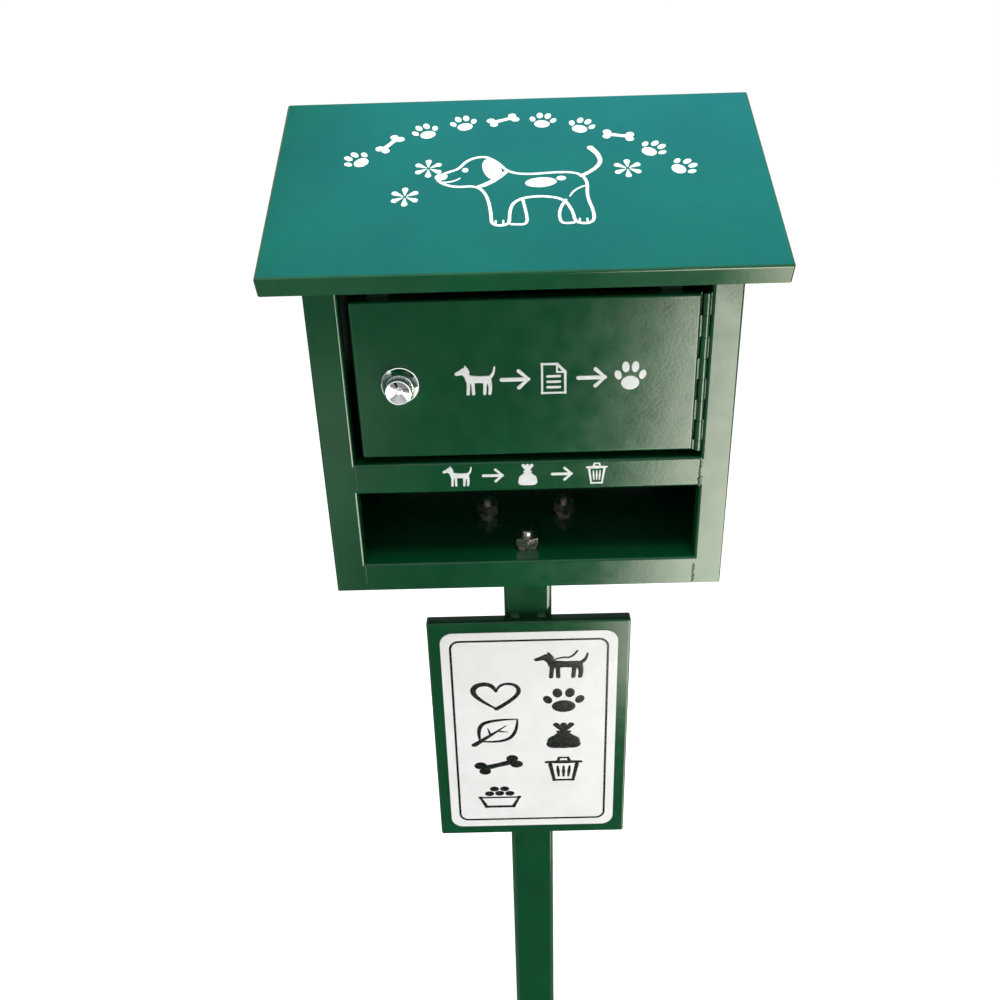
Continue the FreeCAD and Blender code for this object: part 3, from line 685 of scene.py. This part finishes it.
class DISPENSER_OT_print_roof(bpy.types.Operator):
    """Prints the arc of small marks, the flowers and the dog on the roof"""
    bl_idname = "dispenser.print_roof"
    bl_label = "Print Roof"

    def execute(self, context):
        ink = white_ink()
        size = context.scene.dispenser_sizes.arc_mark
        plane = roof_plane()
        centre = Vector((-8.0, 19.7)) * MM
        radius = 147.2 * MM
        first, last, count = math.radians(135.5), math.radians(35.4), 10
        marks = []
        for i in range(count):
            angle = first + (last - first) * i / (count - 1)
            x, y = centre.x + radius * math.cos(angle), centre.y + radius * math.sin(angle)
            mark = bone if i % 3 == 1 else paw
            marks.append((*mark(), at(x, y, size, angle - math.pi / 2)))
        self.print_on(plane, marks, "roof_arc_marks", ink)
        flower_places = ((-78, 80), (-63, 111), (74, 105))
        flowers = [(*flower(), at(x * MM, y * MM, size)) for x, y in flower_places]
        self.print_on(plane, flowers, "roof_flower_marks", ink)
        dog = [(*large_dog(), Matrix.Translation((0, 46 * MM, 0)) @ Matrix.Scale(MM, 4))]
        self.print_on(plane, dog, "roof_dog_mark", ink)
        return {"FINISHED"}

    def print_on(self, plane, marks, name, ink):
        bm = draw(marks)
        bmesh.ops.transform(bm, matrix=plane, verts=bm.verts)
        add_piece(name, bm, ink, "stand")


class DISPENSER_OT_print_door_and_rail(bpy.types.Operator):
    """Prints the row of marks on the door and the row under it on the middle rail"""
    bl_idname = "dispenser.print_door_and_rail"
    bl_label = "Print Door and Rail"

    def execute(self, context):
        ink = bpy.data.materials["white_screen_ink"]
        sizes = context.scene.dispenser_sizes
        rows = [("door_marks", "door_panel", "door", (small_dog, arrow, paper_sheet, arrow, paw),
                 Vector((19.5, 0)) * MM, 27 * MM, sizes.door_mark),
                ("rail_marks", "middle_rail", "stand", (small_dog, arrow, tied_bag, arrow, litter_bin),
                 Vector((0, 1)) * MM, 25.5 * MM, sizes.rail_mark)]
        for name, node, body, marks, offset, pitch, size in rows:
            lo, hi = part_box(node)
            bm = draw(row_of(marks, offset.x, offset.y, pitch, size))
            plane = upright_plane((lo.x + hi.x) / 2, lo.y, (lo.z + hi.z) / 2)
            bmesh.ops.transform(bm, matrix=plane, verts=bm.verts)
            add_piece(name, bm, ink, body)
        return {"FINISHED"}


class DISPENSER_OT_print_notice(bpy.types.Operator):
    """Lays the white film on the notice plate and prints its line and its two columns of marks"""
    bl_idname = "dispenser.print_notice"
    bl_label = "Print Notice"

    def execute(self, context):
        cover("sign_label", vinyl_film())
        ink = black_ink()
        sizes = context.scene.dispenser_sizes
        lo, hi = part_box("sign_label")
        plane = upright_plane((lo.x + hi.x) / 2, lo.y, (lo.z + hi.z) / 2)
        # Each column's middle and its top mark's height over the panel's middle, in millimetres.
        columns = [(29.5, 75.6, (lead_walker, paw, tied_bag, litter_bin)),
                   (-29.5, 42.6, (heart, leaf, bone, food_bowl))]
        pitch, stretch = 39 * MM, 1.3
        marks = []
        for x, top, column in columns:
            for i, mark in enumerate(column):
                marks.append((*mark(), at(x * MM, top * MM - i * pitch, sizes.sign_mark,
                                          width=stretch * sizes.sign_mark)))
        bm = draw(marks)
        bmesh.ops.transform(bm, matrix=plane, verts=bm.verts)
        add_piece("sign_marks", bm, ink, "stand")
        self.print_line(lo, hi, plane, ink)
        return {"FINISHED"}

    def print_line(self, lo, hi, plane, ink):
        """The thin line round the notice: the inset rim of a rounded rectangle, raised by the ink."""
        sizes = bpy.context.scene.dispenser_sizes
        half_x = (hi.x - lo.x) / 2 - sizes.line_inset
        half_z = (hi.z - lo.z) / 2 - sizes.line_inset
        bm = bmesh.new()
        bmesh.ops.create_grid(bm, x_segments=1, y_segments=1, size=1,
                              matrix=Matrix.Diagonal((half_x, half_z, 1, 1)))
        corner = 8.5 * MM
        bmesh.ops.bevel(bm, geom=bm.verts, offset=corner, affect="VERTICES", segments=8,
                        profile=0.5, material=-1)
        inner = bmesh.ops.inset_region(bm, faces=bm.faces, thickness=sizes.line_width,
                                       use_even_offset=True, use_boundary=True)
        middle = [f for f in bm.faces if f not in set(inner["faces"])]
        bmesh.ops.delete(bm, geom=middle, context="FACES")
        ring = bmesh.ops.extrude_face_region(bm, geom=bm.faces)
        raised = [g for g in ring["geom"] if isinstance(g, bmesh.types.BMVert)]
        bmesh.ops.translate(bm, vec=(0, 0, sizes.ink_thickness), verts=raised)
        bmesh.ops.translate(bm, vec=(0, 0, -sizes.ink_thickness / 3), verts=bm.verts)
        bmesh.ops.transform(bm, matrix=plane, verts=bm.verts)
        line = add_piece("sign_line", bm, ink, "stand")
        line.data.shade_flat()


# ======== Stage ========
def add_stage_object(name, bm, material):
    mesh = bpy.data.meshes.new(name)
    bm.to_mesh(mesh)
    bm.free()
    mesh.materials.append(material)
    thing = bpy.data.objects.new(name, mesh)
    bpy.context.scene.collection.objects.link(thing)
    return thing


def facing(centre, target):
    """A matrix at a centre whose +Z looks at a target, with X level."""
    look = (Vector(target) - Vector(centre)).normalized()
    return Matrix.Translation(centre) @ look.to_track_quat("Z", "Y").to_matrix().to_4x4()


def add_card(name, centre, target, width, height, radiance, colour, soft, turned=0.0):
    """A glowing panel that shows only in reflections, fading out towards its edges. soft is how far in
    the fade reaches, as shares of its width and height. turned is its turn in its own plane, in degrees."""
    material = bpy.data.materials.new(name)
    material.use_nodes = True
    tree = material.node_tree
    tree.nodes.clear()
    uv = add_node(tree, "ShaderNodeTexCoord").outputs["UV"]
    parts = add_node(tree, "ShaderNodeSeparateXYZ", {"Vector": uv})
    strength = None
    for axis, reach in zip("XY", soft):
        off = add_node(tree, "ShaderNodeMath", {0: parts.outputs[axis], 1: 0.5}, operation="SUBTRACT")
        away = add_node(tree, "ShaderNodeMath", {0: off.outputs[0]}, operation="ABSOLUTE")
        fade = add_node(tree, "ShaderNodeMapRange", {
            "Value": away.outputs[0], "From Min": 0.5, "From Max": 0.5 - reach,
            "To Min": 0.0, "To Max": 1.0}, interpolation_type="SMOOTHSTEP").outputs["Result"]
        factor = strength if strength else radiance
        strength = add_node(tree, "ShaderNodeMath", {0: factor, 1: fade}, operation="MULTIPLY").outputs[0]
    glow = add_node(tree, "ShaderNodeEmission", {"Color": (*colour, 1), "Strength": strength})
    add_node(tree, "ShaderNodeOutputMaterial", {"Surface": glow.outputs["Emission"]})
    bm = bmesh.new()
    bm.loops.layers.uv.new("UVMap")
    bmesh.ops.create_grid(bm, x_segments=1, y_segments=1, size=0.5, calc_uvs=True,
                          matrix=facing(centre, target) @ Matrix.Rotation(math.radians(turned), 4, "Z")
                          @ Matrix.Diagonal((width, height, 1, 1)))
    card = add_stage_object(name, bm, material)
    card.visible_camera = False
    card.visible_diffuse = False
    card.visible_shadow = False
    return card


def add_softbox(name, centre, target, width, height, watts, colour, pieces=None):
    """An area lamp. pieces, if given, are all that it falls on."""
    light = bpy.data.lights.new(name, "AREA")
    light.shape = "RECTANGLE"
    light.size = width
    light.size_y = height
    light.energy = watts
    light.color = colour
    lamp = bpy.data.objects.new(name, light)
    bpy.context.scene.collection.objects.link(lamp)
    lamp.matrix_world = facing(centre, target) @ Matrix.Rotation(math.pi, 4, "X")
    lamp.visible_camera = False
    if pieces:
        group = bpy.data.collections.new(name + "_receivers")
        for thing in pieces:
            group.objects.link(thing)
        lamp.light_linking.receiver_collection = group
    return lamp


def pale_floor():
    """Seamless white studio paper."""
    material, tree, place = start_material("white_studio_paper")
    colour = blend_colours(tree, noise(tree, place, 400), linear("F6F6F5"), linear("F9F9F8"))
    shader = add_node(tree, "ShaderNodeBsdfPrincipled", {
        "Base Color": colour, "Roughness": 0.9, "Emission Color": (1, 1, 1, 1),
        "Emission Strength": 0.72})
    finish_material(tree, shader)
    return material


class DISPENSER_OT_set_stage(bpy.types.Operator):
    """Sets the floor, the surroundings, the lamps and the camera"""
    bl_idname = "dispenser.set_stage"
    bl_label = "Set Stage"

    def execute(self, context):
        self.set_floor()
        self.set_surroundings()
        self.set_lamps()
        self.set_camera()
        context.scene.view_settings.view_transform = "Standard"
        return {"FINISHED"}

    def set_floor(self):
        bm = bmesh.new()
        bmesh.ops.create_grid(bm, x_segments=1, y_segments=1, size=40)
        floor = add_stage_object("studio_floor", bm, pale_floor())
        floor.visible_glossy = False

    def set_surroundings(self):
        """White to the eye and dimmer as a light. Mirrored, it is a bright sky over a grey yard, with a
        dark gap low in front, where someone would stand."""
        world = bpy.data.worlds.new("studio")
        bpy.context.scene.world = world
        world.use_nodes = True
        tree = world.node_tree
        tree.nodes.clear()
        way = add_node(tree, "ShaderNodeTexCoord").outputs["Generated"]
        parts = add_node(tree, "ShaderNodeSeparateXYZ", {"Vector": way}).outputs

        def fade(value, low, high, dark, bright):
            return add_node(tree, "ShaderNodeMapRange", {
                "Value": value, "From Min": low, "From Max": high, "To Min": dark, "To Max": bright},
                interpolation_type="SMOOTHSTEP").outputs["Result"]

        def combine(operation, first, second):
            return add_node(tree, "ShaderNodeMath", {0: first, 1: second}, operation=operation).outputs[0]

        lean = combine("DIVIDE", parts["X"], combine("MINIMUM", parts["Y"], -0.01))
        aside = fade(combine("ABSOLUTE", lean, 0.0), 0.12, 0.3, 0.0, 1.0)
        above = fade(parts["Z"], -0.16, 0.05, 0.0, 1.0)
        behind = fade(parts["Y"], -0.2, 0.1, 0.0, 1.0)
        clear = combine("MAXIMUM", combine("MAXIMUM", aside, above), behind)
        sky = fade(parts["Z"], -0.1, 0.9, 0.3, 1.0)
        mirrored = combine("MULTIPLY", sky, fade(clear, 0.0, 1.0, 0.04, 1.0))
        path = add_node(tree, "ShaderNodeLightPath").outputs
        lit = fade(path["Is Camera Ray"], 0.0, 1.0, 0.27, 1.0)
        dim = add_node(tree, "ShaderNodeMix", {
            "Factor": path["Is Glossy Ray"], "A": lit, "B": mirrored}, data_type="FLOAT")
        light = add_node(tree, "ShaderNodeBackground", {
            "Color": (1, 1, 1, 1), "Strength": dim.outputs[0]})
        add_node(tree, "ShaderNodeOutputWorld", {"Surface": light.outputs["Background"]})

    def set_lamps(self):
        """A soft key overhead. Cards stand for a clear sky, a sunlit yard on the right and a dull one on
        the left, and two softboxes fall only on the chrome."""
        white, sky_blue, dull_yard = (1, 1, 1), (0.1, 0.62, 1.0), (1.0, 1.0, 0.92)
        far_yard, near_yard = (1.0, 0.97, 0.83), (1.0, 0.97, 0.78)
        key = add_softbox("key_softbox", (0.3, -0.25, 3.2), (0, 0, 1.1), 1.4, 1.0, 62, white)
        # Only the cards and the surroundings are mirrored.
        key.visible_glossy = False
        add_card("sky_card", (0.6, 0.6, 3.2), (0, 0, 1.3), 3.6, 2.4, 2.5, sky_blue, (0.2, 0.2))
        add_card("far_yard_card", (1.435, -2.624, 0.02), (1.435, -2.624, 1.0), 2.0, 3.62, 12,
                 far_yard, (0.12, 0.03), turned=11.6)
        add_card("near_yard_card", (1.3, -0.62, 0.02), (1.3, -0.62, 1.0), 1.8, 0.7, 7,
                 near_yard, (0.08, 0.2))
        add_card("left_yard_card", (-1.15, -2.2, 0.02), (-1.15, -2.2, 1.0), 1.7, 2.6, 0.85,
                 dull_yard, (0.2, 0.2))
        latch = [bpy.data.objects[name] for name in ("latch_bezel", "latch_grip")]
        middle = (-0.09, -0.06, 1.17)
        add_softbox("latch_softbox", (0.25, -1.5, 0.75), middle, 1.6, 1.1, 9, white, latch)
        add_softbox("latch_side_softbox", (-1.3, -0.8, 1.2), middle, 0.9, 1.2, 4.5, white, latch)

    def set_camera(self):
        """Stands a little above the roof's edge and looks down, leaning slightly."""
        yaw, pitch, roll = 0.013, -0.490, -0.031
        focal, image = 1009.5, 1000
        camera = bpy.data.cameras.new("camera")
        camera.sensor_width = 36
        camera.lens = 36 * focal / image
        camera.shift_x = -0.00246
        camera.shift_y = 0.00205
        holder = bpy.data.objects.new("camera", camera)
        bpy.context.scene.collection.objects.link(holder)
        turn = (Matrix.Rotation(yaw, 4, "Z") @ Matrix.Rotation(math.pi / 2 + pitch, 4, "X")
                @ Matrix.Rotation(roll, 4, "Z"))
        holder.matrix_world = Matrix.Translation((-0.00957, -0.72795, 1.43190)) @ turn
        bpy.context.scene.camera = holder


class DISPENSER_PT_panel(bpy.types.Panel):
    """Sizes, colours and steps of the dispenser"""
    bl_label = "Bag Dispenser"
    bl_space_type = "VIEW_3D"
    bl_region_type = "UI"
    bl_category = "Dispenser"

    def draw(self, context):
        for group in (context.scene.dispenser_sizes, context.scene.dispenser_colours):
            column = self.layout.column()
            for name in group.__annotations__:
                column.prop(group, name)
        for step in STEPS:
            self.layout.operator(step.bl_idname)


STEPS = (
    DISPENSER_OT_coat_steelwork,
    DISPENSER_OT_plate_fasteners,
    DISPENSER_OT_make_latch,
    DISPENSER_OT_add_seam_beads,
    DISPENSER_OT_print_roof,
    DISPENSER_OT_print_door_and_rail,
    DISPENSER_OT_print_notice,
    DISPENSER_OT_set_stage,
)
CLASSES = (DispenserSizes, DispenserColours, *STEPS, DISPENSER_PT_panel)


def register():
    for cls in CLASSES:
        bpy.utils.register_class(cls)
    bpy.types.Scene.dispenser_sizes = bpy.props.PointerProperty(type=DispenserSizes)
    bpy.types.Scene.dispenser_colours = bpy.props.PointerProperty(type=DispenserColours)


def unregister():
    del bpy.types.Scene.dispenser_sizes
    del bpy.types.Scene.dispenser_colours
    for cls in reversed(CLASSES):
        bpy.utils.unregister_class(cls)


def main():
    register()
    bpy.ops.dispenser.coat_steelwork()
    bpy.ops.dispenser.plate_fasteners()
    bpy.ops.dispenser.make_latch()
    bpy.ops.dispenser.add_seam_beads()
    bpy.ops.dispenser.print_roof()
    bpy.ops.dispenser.print_door_and_rail()
    bpy.ops.dispenser.print_notice()
    bpy.ops.dispenser.set_stage()


if __name__ == "__main__":
    main()
